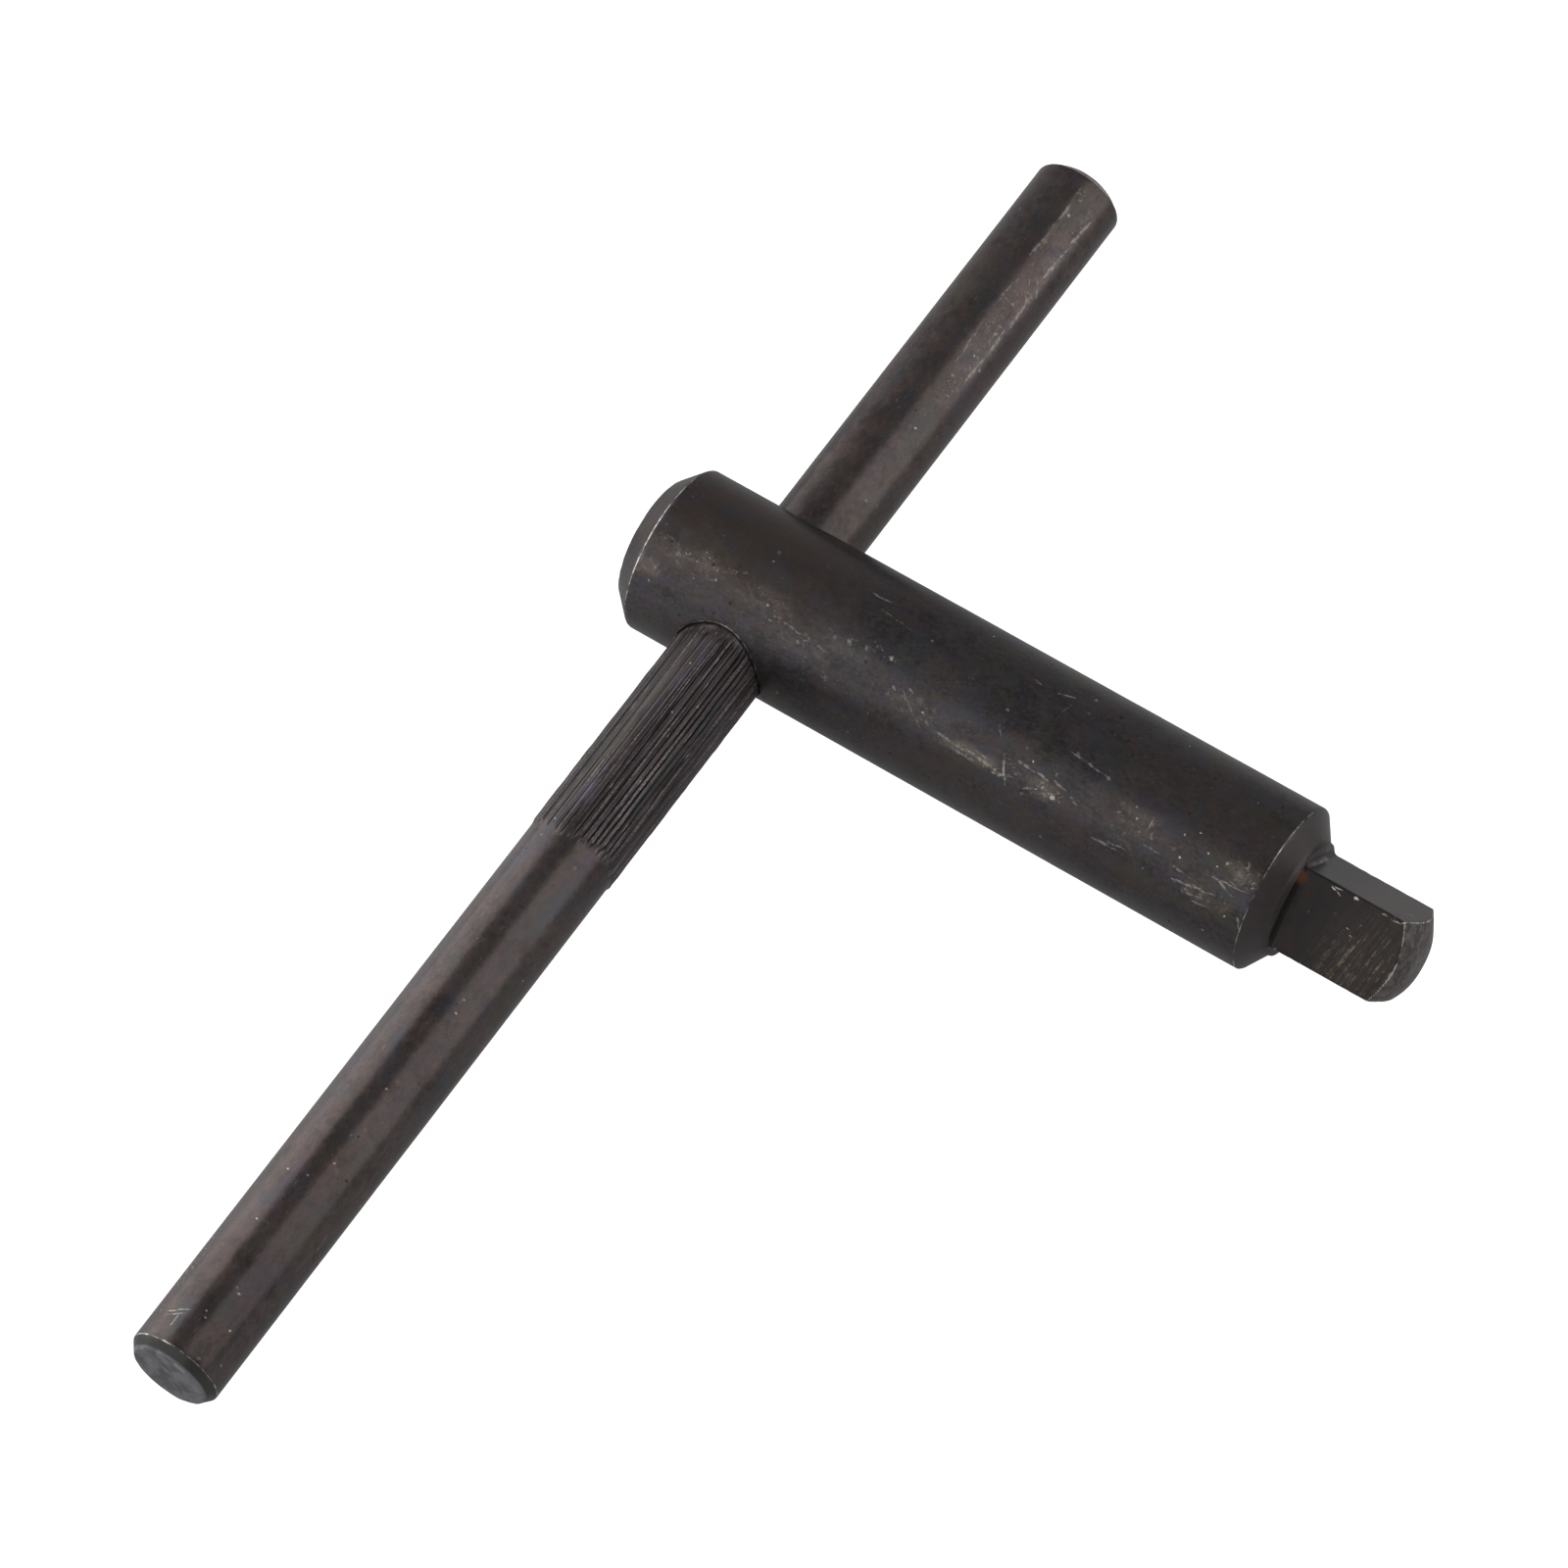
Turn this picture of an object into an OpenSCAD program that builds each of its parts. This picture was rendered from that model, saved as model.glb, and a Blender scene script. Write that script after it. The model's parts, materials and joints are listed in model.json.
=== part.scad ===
// Square-drive T-handle key: a round shank with a male square, and a sliding
// cross bar with a knurled middle. Millimetres.
// The origin is on the shank's axis, where the square leaves the shank.
// +X runs along the square, +Y to the bar's short end, +Z is up with the key lying flat.

/* [Shank] */
// Diameter of the shank
shank_d = 20; // [18:0.5:26]
// Length of the shank, from its top end to the root of the square
shank_len = 85; // [70:1:140]
// Size of the 45 degree chamfer at the top end
top_chamfer = 2.6; // [0.5:0.1:4]
// Distance from the top end to the axis of the cross hole
hole_inset = 15; // [12:0.5:25]
// Width of the bevel that breaks each edge of the cross hole
hole_bevel = 0.6; // [0.3:0.1:0.9]

/* [Shoulder] */
// Axial length of the outer chamfer beside the square
shoulder_chamfer_len = 1.3; // [0.8:0.1:2]
// Radial depth of the outer chamfer beside the square
shoulder_chamfer_depth = 1.8; // [1:0.1:1.8]

/* [Square] */
// Size of the square across its flats
square_af = 10; // [9:0.5:12]
// Length of the square
square_len = 15; // [12:0.5:20]
// Diameter of the round stub that the flats are cut on
stub_d = 14; // [13:0.1:14.2]
// Diameter of the small flat at the tip
tip_d = 6.2; // [5:0.1:7]
// Angle of the tip's cone, measured from the axis
tip_angle = 59; // [45:1:65]
// Roll of the square about the axis, from facing along Y
square_roll = 43; // [0:1:89]
// Radius of the fillet at the root of each flat
flat_fillet = 0.5; // [0.2:0.1:0.8]

/* [Cross bar] */
// Diameter of the bar
bar_d = 10.9; // [10:0.1:11]
// Length of the bar
bar_len = 180; // [160:1:220]
// Radial size of the chamfer on each end of the bar
bar_chamfer = 1.2; // [0.5:0.1:2]
// Radial clearance between the bar and its hole
bar_clearance = 0.05; // [0.02:0.01:0.1]

/* [Knurl] */
// Length of the knurled middle
knurl_len = 30; // [15:1:32]
// Height of the knurl's crests above the bar
crest_height = 0.25; // [0.1:0.05:0.3]
// Depth of the grooves between the crests
knurl_depth = 0.4; // [0.2:0.05:0.5]
// Number of crests around the bar
knurl_teeth = 28; // [20:1:36]

/* [Hidden] */

// Fineness of the round surfaces
$fn = 96;
// How far a cutting solid runs past the face that it cuts
past = 1;
// Number of straight pieces in the neck's quarter circle
neck_steps = 6;

shank_r = shank_d / 2;
stub_r = stub_d / 2;
tip_r = tip_d / 2;
bar_r = bar_d / 2;
hole_r = bar_r + bar_clearance;
top_x = -shank_len;
hole_x = top_x + hole_inset;

// Radius of the concave neck that joins the outer chamfer to the stub
neck_r = shank_r - shoulder_chamfer_depth - stub_r;
// Where the shank's full diameter ends and the outer chamfer begins
chamfer_x = -neck_r - shoulder_chamfer_len;

// Axial length of the cone that takes the stub down to the tip's flat
tip_len = (stub_r - tip_r) / tan(tip_angle);

// The crests fade out inside the bevel of the hole's mouth, just short of its foot
knurl_r = bar_r + crest_height;
seat_gap = 0.05;
knurl_inner_y = -shank_r + hole_bevel - seat_gap;
bar_middle_y = knurl_inner_y - knurl_len / 2;
arm_len = (bar_len - knurl_len) / 2;

// Turns a solid made along +Z so that it lies along +X
module along_x() {
    rotate([0, 90, 0]) children();
}

// Turns a solid made along +Z so that it lies along +Y
module along_y() {
    rotate([-90, 0, 0]) children();
}

// Points of the neck's concave quarter circle, from the chamfer down to the stub
function neck_points() = [
    for (i = [0 : neck_steps])
        let (a = 90 * i / neck_steps)
            [stub_r + neck_r * (1 - sin(a)), -neck_r * cos(a)]
];

// The turned blank: chamfered top end, shank, chamfered shoulder and neck
module shank_blank() {
    profile = concat(
        [
            [0, top_x],
            [shank_r - top_chamfer, top_x],
            [shank_r, top_x + top_chamfer],
            [shank_r, chamfer_x]
        ],
        neck_points(),
        [[0, 0]]
    );
    along_x() rotate_extrude() polygon(profile);
}

// The round stub with its conical tip
module stub() {
    along_x() {
        cylinder(r = stub_r, h = square_len - tip_len);
        translate([0, 0, square_len - tip_len])
            cylinder(r1 = stub_r, r2 = tip_r, h = tip_len);
    }
}

// The solid that the flats leave: a square bar with a fillet at the root of each flat
module flats() {
    translate([0, -square_af / 2, -square_af / 2])
        cube([square_len, square_af, square_af]);
    for (side = [0 : 3])
        rotate([90 * side, 0, 0])
            translate([0, 0, square_af / 2])
                flat_root();
}

// The fillet bar along the root of one flat
module flat_root() {
    difference() {
        translate([0, -stub_r, 0])
            cube([flat_fillet, stub_d, flat_fillet]);
        translate([flat_fillet, 0, flat_fillet])
            rotate([90, 0, 0])
                cylinder(r = flat_fillet, h = stub_d + past, center = true);
    }
}

module drive_square() {
    intersection() {
        stub();
        rotate([square_roll, 0, 0]) flats();
    }
}

// The cross hole, with a bevel where it leaves the shank on each side
module cross_hole() {
    translate([hole_x, 0, 0]) {
        along_y() cylinder(r = hole_r, h = shank_d + 2 * past, center = true);
        for (side = [-1, 1])
            rotate([-90 * side, 0, 0])
                translate([0, 0, shank_r - hole_bevel])
                    cylinder(
                        r1 = hole_r,
                        r2 = hole_r + hole_bevel + past,
                        h = hole_bevel + past
                    );
    }
}

module key_body() {
    color([0.20, 0.18, 0.17]) {
        difference() {
            union() {
                shank_blank();
                drive_square();
            }
            cross_hole();
        }
    }
}

// Outline of the knurl: a crest and a groove for each tooth
function knurl_outline() = [
    for (i = [0 : 2 * knurl_teeth - 1])
        let (
            a = 180 * i / knurl_teeth,
            r = i % 2 == 0 ? knurl_r : knurl_r - knurl_depth
        )
            [r * cos(a), r * sin(a)]
];

// The knurled middle, its crests fading into the bar at both ends
module knurled_middle() {
    along_y() intersection() {
        linear_extrude(height = knurl_len, center = true)
            polygon(knurl_outline());
        rotate_extrude() polygon([
            [0, -knurl_len / 2],
            [bar_r, -knurl_len / 2],
            [knurl_r, -knurl_len / 2 + crest_height],
            [knurl_r, knurl_len / 2 - crest_height],
            [bar_r, knurl_len / 2],
            [0, knurl_len / 2]
        ]);
    }
}

// One plain arm along +Y, from the knurl to its chamfered free end
module bar_arm() {
    along_y() rotate_extrude() polygon([
        [0, 0],
        [bar_r, 0],
        [bar_r, arm_len - bar_chamfer],
        [bar_r - bar_chamfer, arm_len],
        [0, arm_len]
    ]);
}

module cross_bar() {
    color([0.24, 0.21, 0.19])
        translate([hole_x, bar_middle_y, 0]) {
            knurled_middle();
            for (turn = [0, 180])
                rotate([0, 0, turn])
                    translate([0, knurl_len / 2, 0])
                        bar_arm();
        }
}

key_body();
cross_bar();
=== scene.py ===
"""Looks for the square-drive T-handle key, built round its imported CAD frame.

Lengths are in millimetres and angles in degrees until a mesh, a light or the camera is made.
The shank lies along X and the cross bar along Y. Angles round the shank start at +Y, angles
round the bar start at +X, and both turn towards +Z.
"""
import json
import math
import random
from functools import partial, reduce

import bpy
import numpy as np
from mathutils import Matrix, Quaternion, Vector, noise


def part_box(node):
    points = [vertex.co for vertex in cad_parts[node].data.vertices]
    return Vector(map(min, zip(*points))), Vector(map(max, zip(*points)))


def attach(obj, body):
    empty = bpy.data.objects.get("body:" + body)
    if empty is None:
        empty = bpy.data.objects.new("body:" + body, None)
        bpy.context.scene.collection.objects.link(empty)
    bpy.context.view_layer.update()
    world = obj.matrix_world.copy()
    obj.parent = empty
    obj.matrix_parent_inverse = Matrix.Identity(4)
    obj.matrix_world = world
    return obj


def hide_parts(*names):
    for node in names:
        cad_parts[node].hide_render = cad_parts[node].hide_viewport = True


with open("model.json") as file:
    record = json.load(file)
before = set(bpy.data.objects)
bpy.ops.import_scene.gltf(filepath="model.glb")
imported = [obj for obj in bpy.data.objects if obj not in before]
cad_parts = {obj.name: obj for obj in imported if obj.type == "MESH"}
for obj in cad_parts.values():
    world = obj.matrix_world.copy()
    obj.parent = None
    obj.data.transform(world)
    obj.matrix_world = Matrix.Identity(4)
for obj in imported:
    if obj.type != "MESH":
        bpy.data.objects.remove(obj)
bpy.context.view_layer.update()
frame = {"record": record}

MM = 0.001
DESIGN_STEP = 0.05


def millimetres(metres):
    """A length of the frame in millimetres, to the step that the design uses."""
    return round(metres / MM / DESIGN_STEP) * DESIGN_STEP


# ---- Sizes that the frame gives ----

body_low, body_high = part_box("key_body")
bar_low, bar_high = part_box("cross_bar")
mounts = {mount["name"]: mount for mount in frame["record"]["mounts"]}
bar_mount = mounts["bar_long_end"]

SHANK_R = millimetres(-body_low.z)
TOP_X = millimetres(body_low.x)
TIP_X = millimetres(body_high.x)
HOLE_X = millimetres(bar_mount["pos_m"][0])
BAR_R = round(bar_mount["dims"]["r_mm"], 2)
BAR_LOW_Y = millimetres(bar_low.y)
BAR_HIGH_Y = millimetres(bar_high.y)

# ---- Sizes that repeat the design ----

TOP_CHAMFER = 2.6
CHAMFER_X = -2.5
STUB_R = 7.0
SQUARE_AF = 10.0
SQUARE_ROLL = 43.0
FLAT_FILLET = 0.5
TIP_R = 3.1
TIP_ANGLE = 59.0
TIP_SOFTNESS = 0.3
EDGE_SOFTNESS = 0.06
EDGE_REACH = 0.14
HOLE_R = BAR_R + 0.05
KNURL_LEN = 30.0
KNURL_INNER_Y = -9.45
KNURL_OUTER_Y = KNURL_INNER_Y - KNURL_LEN
KNURL_START_Y = -8.3
LAND_R = 5.6
GROOVE_HALF = 1.3
RIM_ROUND = 0.42
MOUTH_HALF_X = 8.2
NEAR_CHAMFER, NEAR_CHAMFER_LEN = 1.0, 1.3
FAR_CHAMFER, FAR_CHAMFER_LEN = 1.2, 0.95

# ---- Fineness ----

SHANK_COLUMNS = 256
CROWDING = 0.6
SHANK_STEP = 0.4
SQUARE_STEP = 0.25
TIP_STEP = 0.12
TIP_RINGS = 12
ARM_COLUMNS = 104
ARM_STEP = 0.45
KNURL_COLUMNS = ARM_COLUMNS * 6
KNURL_STEP = 0.5
MOUTH_HALF_COLUMNS = 36
MOUTH_RINGS = 9
RIM_STEPS = 6
BORE_RINGS = 14


# ---- Outlines ----

def rounded(corners, steps=4):
    """Outline points (along, radius, wear and sheen) from corners (along, radius, rounding, wear
    and sheen).
    """
    points = []
    for i, (along, radius, rounding, wear) in enumerate(corners):
        here = np.array([along, radius])
        if rounding == 0:
            points.append((along, radius, 0.0))
            continue
        before = np.array(corners[i - 1][:2]) - here
        after = np.array(corners[i + 1][:2]) - here
        start = here + before / np.linalg.norm(before) * rounding
        end = here + after / np.linalg.norm(after) * rounding
        for k in range(steps + 1):
            t = k / steps
            at = (1 - t) ** 2 * start + 2 * t * (1 - t) * here + t ** 2 * end
            points.append((at[0], at[1], wear * math.sin(math.pi * t)))
    return points


def dense(points, step):
    """The same outline with points added so that none are further apart than the step."""
    made = [points[0]]
    for before, after in zip(points, points[1:]):
        gap = math.dist(before[:2], after[:2])
        count = max(1, math.ceil(gap / step - 1e-6))
        for k in range(1, count + 1):
            t = k / count
            at = [a + (b - a) * t for a, b in zip(before[:2], after[:2])]
            made.append((at[0], at[1], after[2] if k == count else 0.0))
    return made


def smooth(t):
    """0 below 0, 1 above 1, and an S-shaped rise between."""
    t = np.clip(t, 0.0, 1.0)
    return t * t * (3 - 2 * t)


def soft_min(values, softness):
    """The least of some arrays, with its edges rounded off."""
    return -softness * np.log(sum(np.exp(-v / softness) for v in values))


def closeness(values, reach):
    """1 where the two least arrays meet, falling to 0 over the reach."""
    least = np.sort(np.stack(values), axis=0)
    return np.exp(-(least[1] - least[0]) / reach)


# ---- Meshes ----

def new_object(name, data):
    """An object in the scene with this mesh, light or camera."""
    made = bpy.data.objects.new(name, data)
    bpy.context.scene.collection.objects.link(made)
    return made


class Builder:
    """Collects points with wear-and-sheen and grime-and-shade values, and the faces between them.
    """

    def __init__(self):
        self.points = []
        self.values = []
        self.faces = []

    def add(self, points, wear=0.0, dirt=0.0, rough=1.0):
        """Adds an array of points and returns their numbers in the same shape."""
        points = np.asarray(points, float)
        shape = points.shape[:-1]
        first = sum(len(p) for p in self.points)
        values = [np.broadcast_to(v, shape).reshape(-1) for v in (wear, dirt, rough)]
        self.points.append(points.reshape(-1, 3))
        self.values.append(np.stack(values, axis=1))
        return first + np.arange(int(np.prod(shape))).reshape(shape)

    def point(self, x, y, z):
        """Adds one point and returns its number."""
        return int(self.add([x, y, z]))

    def strip(self, upper, lower, skip=()):
        """Quads between two closed rings of point numbers, leaving out the skipped ones."""
        count = len(upper)
        for j in range(count):
            if j not in skip:
                k = (j + 1) % count
                self.faces.append((upper[j], upper[k], lower[k], lower[j]))

    def rings(self, numbers):
        """Quads between each ring of numbers and the next."""
        for upper, lower in zip(numbers, numbers[1:]):
            self.strip(upper, lower)

    def fan(self, ring, centre):
        """Triangles from a ring to a centre point."""
        count = len(ring)
        for j in range(count):
            self.faces.append((centre, ring[(j + 1) % count], ring[j]))

    def widen(self, coarse, fine, coarse_first):
        """Triangles between a coarse ring and one with several points to each of its own."""
        share = len(fine) // len(coarse)
        made = []
        for j, here in enumerate(coarse):
            after = coarse[(j + 1) % len(coarse)]
            part = [fine[(j * share + k) % len(fine)] for k in range(share + 1)]
            for k in range(share):
                made.append((part[k], part[k + 1], here if k < share // 2 else after))
            made.append((part[share // 2], after, here))
        self.faces += [face[::-1] for face in made] if coarse_first else made

    def finish(self, name, relief):
        """Makes the object, moves its points by the relief and stores the wear-and-sheen and
        grime-and-shade values.
        """
        points = np.concatenate(self.points)
        values = np.concatenate(self.values)
        used = np.unique([number for face in self.faces for number in face])
        points, values = points[used], values[used]
        place = {int(number): i for i, number in enumerate(used)}
        faces = [[place[number] for number in face] for face in self.faces]
        mesh = bpy.data.meshes.new(name)
        mesh.from_pydata((points * MM).tolist(), [], faces)
        mesh.validate()
        mesh.update()
        normals = np.zeros(len(points) * 3, np.float32)
        mesh.vertex_normals.foreach_get("vector", normals)
        normals = normals.reshape(-1, 3)
        moved = points + normals * (relief(points, values[:, 0]) * values[:, 2])[:, None]
        mesh.vertices.foreach_set("co", (moved * MM).astype(np.float32).ravel())
        for label, column in (("wear", 0), ("dirt", 1)):
            attribute = mesh.attributes.new(label, "FLOAT", "POINT")
            attribute.data.foreach_set("value", values[:, column].astype(np.float32))
        mesh.shade_smooth()
        mesh.update()
        return new_object(name, mesh)


def field(points, wavelength=1.0, seed=0):
    """Smooth noise from -1 to 1 at each point, with features about a wavelength across."""
    shift = Vector((seed * 17.3, seed * 5.1, seed * 9.7))
    return np.array([noise.noise(Vector(p) / wavelength + shift) for p in points.tolist()])


# ---- The key body ----

def column_angles(crowding):
    """Angles of the columns round the shank, crowded towards the square's corners."""
    even = np.arange(SHANK_COLUMNS) * 360 / SHANK_COLUMNS
    phase = np.radians(4 * (even - SQUARE_ROLL - 45))
    return even - crowding / 4 * np.degrees(np.sin(phase))


def shank_rows():
    """Rows (x, radius, wear and sheen) of the turned part, from the top end to the square's root.
    """
    corners = [
        (TOP_X, 0.3, 0, 0),
        (TOP_X, SHANK_R - TOP_CHAMFER, 0.22, 0.6),
        (TOP_X + TOP_CHAMFER, SHANK_R, 0.16, 0.75),
        (CHAMFER_X, SHANK_R, 0.14, 0.75),
        (-0.5, STUB_R + 0.12, 0.3, 0),
        (-0.03, STUB_R, 0, 0),
    ]
    return dense(rounded(corners), SHANK_STEP)


def square_radius(angles, x):
    """Radius and edge wear with sheen of the square's section at one station along it."""
    off_flat = np.radians((angles - SQUARE_ROLL + 45) % 90 - 45)
    root = max(0.0, FLAT_FILLET - x)
    height = SQUARE_AF / 2 + FLAT_FILLET - math.sqrt(FLAT_FILLET ** 2 - root ** 2)
    flat = height / np.cos(off_flat)
    stub = np.full_like(flat, STUB_R)
    cone = np.full_like(flat, tip_radius(x))
    long_edge = closeness((flat, stub), EDGE_REACH)
    tip_edge = closeness((np.minimum(flat, stub), cone), EDGE_REACH)
    wear = np.maximum(0.42 * long_edge, 1.3 * tip_edge) * (x > FLAT_FILLET + 0.1)
    return soft_min((flat, stub, cone), EDGE_SOFTNESS), wear


def tip_radius(x):
    """Radius of the tip's cone, which rounds over into the small flat at its end."""
    slope = math.tan(math.radians(TIP_ANGLE))
    return TIP_R + slope * TIP_SOFTNESS * math.log(math.expm1((TIP_X - x) / TIP_SOFTNESS))


def tip_place(radius):
    """The x at which the tip has a radius: the other way round from tip_radius."""
    rise = (radius - TIP_R) / math.tan(math.radians(TIP_ANGLE)) / TIP_SOFTNESS
    return TIP_X - TIP_SOFTNESS * math.log1p(math.exp(rise))


def square_stations():
    """Stations along the square, closer together at its root and its tip."""
    tip_len = (STUB_R - TIP_R) / math.tan(math.radians(TIP_ANGLE))
    root = np.linspace(0, FLAT_FILLET, 6)
    tip_start = TIP_X - tip_len - 1.2
    plain = np.arange(FLAT_FILLET + SQUARE_STEP, tip_start, SQUARE_STEP)
    tip = np.arange(tip_start, TIP_X - TIP_SOFTNESS, TIP_STEP)
    return np.concatenate([root, plain, tip])


def around_x(x, radius, angles):
    """Points on a ring round the X axis."""
    a = np.radians(angles)
    return np.stack([np.full(a.shape, x), radius * np.cos(a), radius * np.sin(a)], axis=-1)


def mouth_loop(rows, grid, middle):
    """The border of one mouth's opening: its point numbers and their (x, turn) places."""
    inside = [i for i, row in enumerate(rows) if abs(row[0] - HOLE_X) <= MOUTH_HALF_X
              and abs(row[1] - SHANK_R) < 1e-6]
    first, last, half = inside[0], inside[-1], MOUTH_HALF_COLUMNS
    steps = [(first, c) for c in range(-half, half)]
    steps += [(r, half) for r in range(first, last)]
    steps += [(last, c) for c in range(half, -half, -1)]
    steps += [(r, -half) for r in range(last, first, -1)]
    numbers = [grid[r][(middle + c) % SHANK_COLUMNS] for r, c in steps]
    places = [(rows[r][0] - HOLE_X, c * 360 / SHANK_COLUMNS) for r, c in steps]
    return numbers, np.array(places), (first, last)


def mouth(build, numbers, places, side):
    """The saddle from the opening's border to the rounded rim. Returns the rim's last ring."""
    turn = np.radians(places[:, 1])
    phi = np.arctan2(turn * SHANK_R, places[:, 0])
    rim_r = HOLE_R + RIM_ROUND
    rim_x = rim_r * np.cos(phi)
    rim_turn = np.arcsin(rim_r * np.sin(phi) / SHANK_R)
    ring = numbers
    for k in range(MOUTH_RINGS - 1, -1, -1):
        t = (k / MOUTH_RINGS) ** 1.4
        x = rim_x + (places[:, 0] - rim_x) * t
        a = rim_turn + (turn - rim_turn) * t
        points = np.stack([HOLE_X + x, side * SHANK_R * np.cos(a), SHANK_R * np.sin(a)], axis=-1)
        # The last saddle ring's wear value is partly a painted highlight at the rim's edge.
        ring = mouth_ring(build, ring, points, 0.35 if k == 0 else 0.0, 1.0)
    for k in range(1, RIM_STEPS + 1):
        a = math.radians(90 * k / RIM_STEPS)
        r = HOLE_R + RIM_ROUND * (1 - math.sin(a))
        z = r * np.sin(phi)
        y = np.sqrt(SHANK_R ** 2 - z ** 2) - RIM_ROUND * (1 - math.cos(a))
        points = np.stack([HOLE_X + r * np.cos(phi), side * y, z], axis=-1)
        # These wear values paint a bright highlight line round the rim, over its rub wear.
        ring = mouth_ring(build, ring, points, 0.7 * math.cos(a) ** 2, 0.3)
    return ring, phi


def mouth_ring(build, outer, points, wear, rough):
    """Adds one ring inside another and the faces between them."""
    ring = build.add(points, wear=wear, rough=rough)
    build.strip(outer, ring)
    return ring


def bore(build, near, far, phi):
    """The wall of the cross hole, from one rim's last ring to the other's."""
    z = HOLE_R * np.sin(phi)
    end = np.sqrt(SHANK_R ** 2 - z ** 2) - RIM_ROUND
    ring = near
    for k in range(1, BORE_RINGS):
        y = -end + 2 * end * k / BORE_RINGS
        points = np.stack([HOLE_X + HOLE_R * np.cos(phi), y, z], axis=-1)
        # The bore is darkened all through: painted shade inside the hole, with some grime.
        inner = build.add(points, rough=0.0, dirt=1.0)
        build.strip(ring, inner)
        ring = inner
    build.strip(ring, far)


def shank_skin(build):
    """The turned skin with its two hole mouths and the bore. Returns the last ring."""
    rows = shank_rows()
    grid = []
    for x, radius, wear in rows:
        angles = column_angles(CROWDING * smooth((x + 3.5) / 3.5))
        # Painted shade with some grime in the neck, where the shoulder turns in to the square.
        dirt = 0.3 * smooth((x + 0.8) / 0.5)
        grid.append(build.add(around_x(x, radius, angles), wear=wear, dirt=dirt))
    half = MOUTH_HALF_COLUMNS
    near_numbers, places, (first, last) = mouth_loop(rows, grid, SHANK_COLUMNS // 2)
    far_numbers, _, _ = mouth_loop(rows, grid, 0)
    gap = {(SHANK_COLUMNS // 2 + c) % SHANK_COLUMNS for c in range(-half, half)}
    gap |= {c % SHANK_COLUMNS for c in range(-half, half)}
    for i in range(len(rows) - 1):
        build.strip(grid[i], grid[i + 1], gap if first <= i < last else ())
    build.fan(grid[0], build.point(TOP_X, 0, 0))
    # The near mouth's columns run the other way in z, so its places turn over.
    near_places = places * np.array([1, -1])
    near_rim, near_phi = mouth(build, near_numbers, near_places, -1)
    far_rim, far_phi = mouth(build, far_numbers, places, 1)
    bore(build, near_rim, far_rim[match_angles(far_phi, near_phi)], near_phi)
    return grid[-1]


def match_angles(angles, wanted):
    """For each wanted angle, the place of the same angle in the other list."""
    turns = np.abs((angles[None, :] - wanted[:, None] + math.pi) % (2 * math.pi) - math.pi)
    return turns.argmin(axis=1)


def square_skin(build, ring):
    """The square from its root to the small flat at the tip."""
    angles = column_angles(CROWDING)
    root_shade_len = 0.45
    for x in square_stations():
        radius, wear = square_radius(angles, x)
        # Painted shade with some grime at the square's root, against the shoulder.
        dirt = 0.4 * smooth((root_shade_len - x) / root_shade_len)
        inner = build.add(around_x(x, radius, angles), wear=wear, dirt=dirt)
        build.strip(ring, inner)
        ring = inner
    last_r = tip_radius(x)
    for share in np.linspace(0.95, 0.08, TIP_RINGS):
        inner = build.add(around_x(tip_place(last_r * share), last_r * share, angles))
        build.strip(ring, inner)
        ring = inner
    build.fan(ring[::-1], build.point(TIP_X, 0, 0))


def dings(points, count, seed, span, radii, depths):
    """Small dents spread over the points: a bowl with a slight lip, in millimetres."""
    chosen = random.Random(seed)
    moved = np.zeros(len(points))
    for _ in range(count):
        centre = points[chosen.randrange(len(points))]
        reach = chosen.uniform(*radii)
        depth = chosen.uniform(*depths)
        stretch = np.array([chosen.uniform(*span) for _ in range(3)])
        far = np.linalg.norm((points - centre) / stretch, axis=1) / reach
        moved -= depth * np.exp(-(far ** 2) * 2) * (1 - 0.6 * far ** 2)
    return moved


def body_relief(points, wear):
    """How far the key body's skin stands from its nominal shape."""
    waves = 0.012 * field(points, 7, 1) + 0.006 * field(points, 2, 2)
    nicks = np.maximum(0, field(points, 1.1, 3)) * 0.16 * wear
    return waves - nicks + dings(points, 90, 4, (0.6, 1.5), (0.35, 0.9), (0.01, 0.05))


def key_body():
    build = Builder()
    square_skin(build, shank_skin(build))
    return build.finish("key_body_detailed", body_relief)


# ---- The cross bar ----

def around_y(y, radius, angles):
    """Points on a ring round the bar's axis."""
    a = np.radians(angles)
    return np.stack([HOLE_X + radius * np.cos(a), np.full(a.shape, y), radius * np.sin(a)], axis=-1)


def bump(angles, centre, width):
    """1 at the centre angle, falling to 0 over the width on both sides."""
    off = (angles - centre + 180) % 360 - 180
    return np.exp(-((off / width) ** 2))


def half_formed(angles):
    """1 on the side where the knurling wheel only creased the bar, falling to 0."""
    return bump(angles, 118, 30)


def varied(numbers, salt):
    """A fixed value from 0 to 1 for each whole number."""
    return np.sin(numbers * 12.9898 + salt * 4.1) * 0.5 + 0.5


def tooth_edges():
    """Angles of the knurl's grooves: fine on top, and coarse on both sides."""
    chosen = random.Random(11)
    edges = [0.0]
    while edges[-1] < 360:
        pitch = 7.2 + 5.2 * half_formed(edges[-1]) + 3.6 * bump(edges[-1], 2, 16)
        edges.append(edges[-1] + pitch * chosen.uniform(0.75, 1.25))
    return np.array(edges) * 360 / edges[-1]


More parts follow.
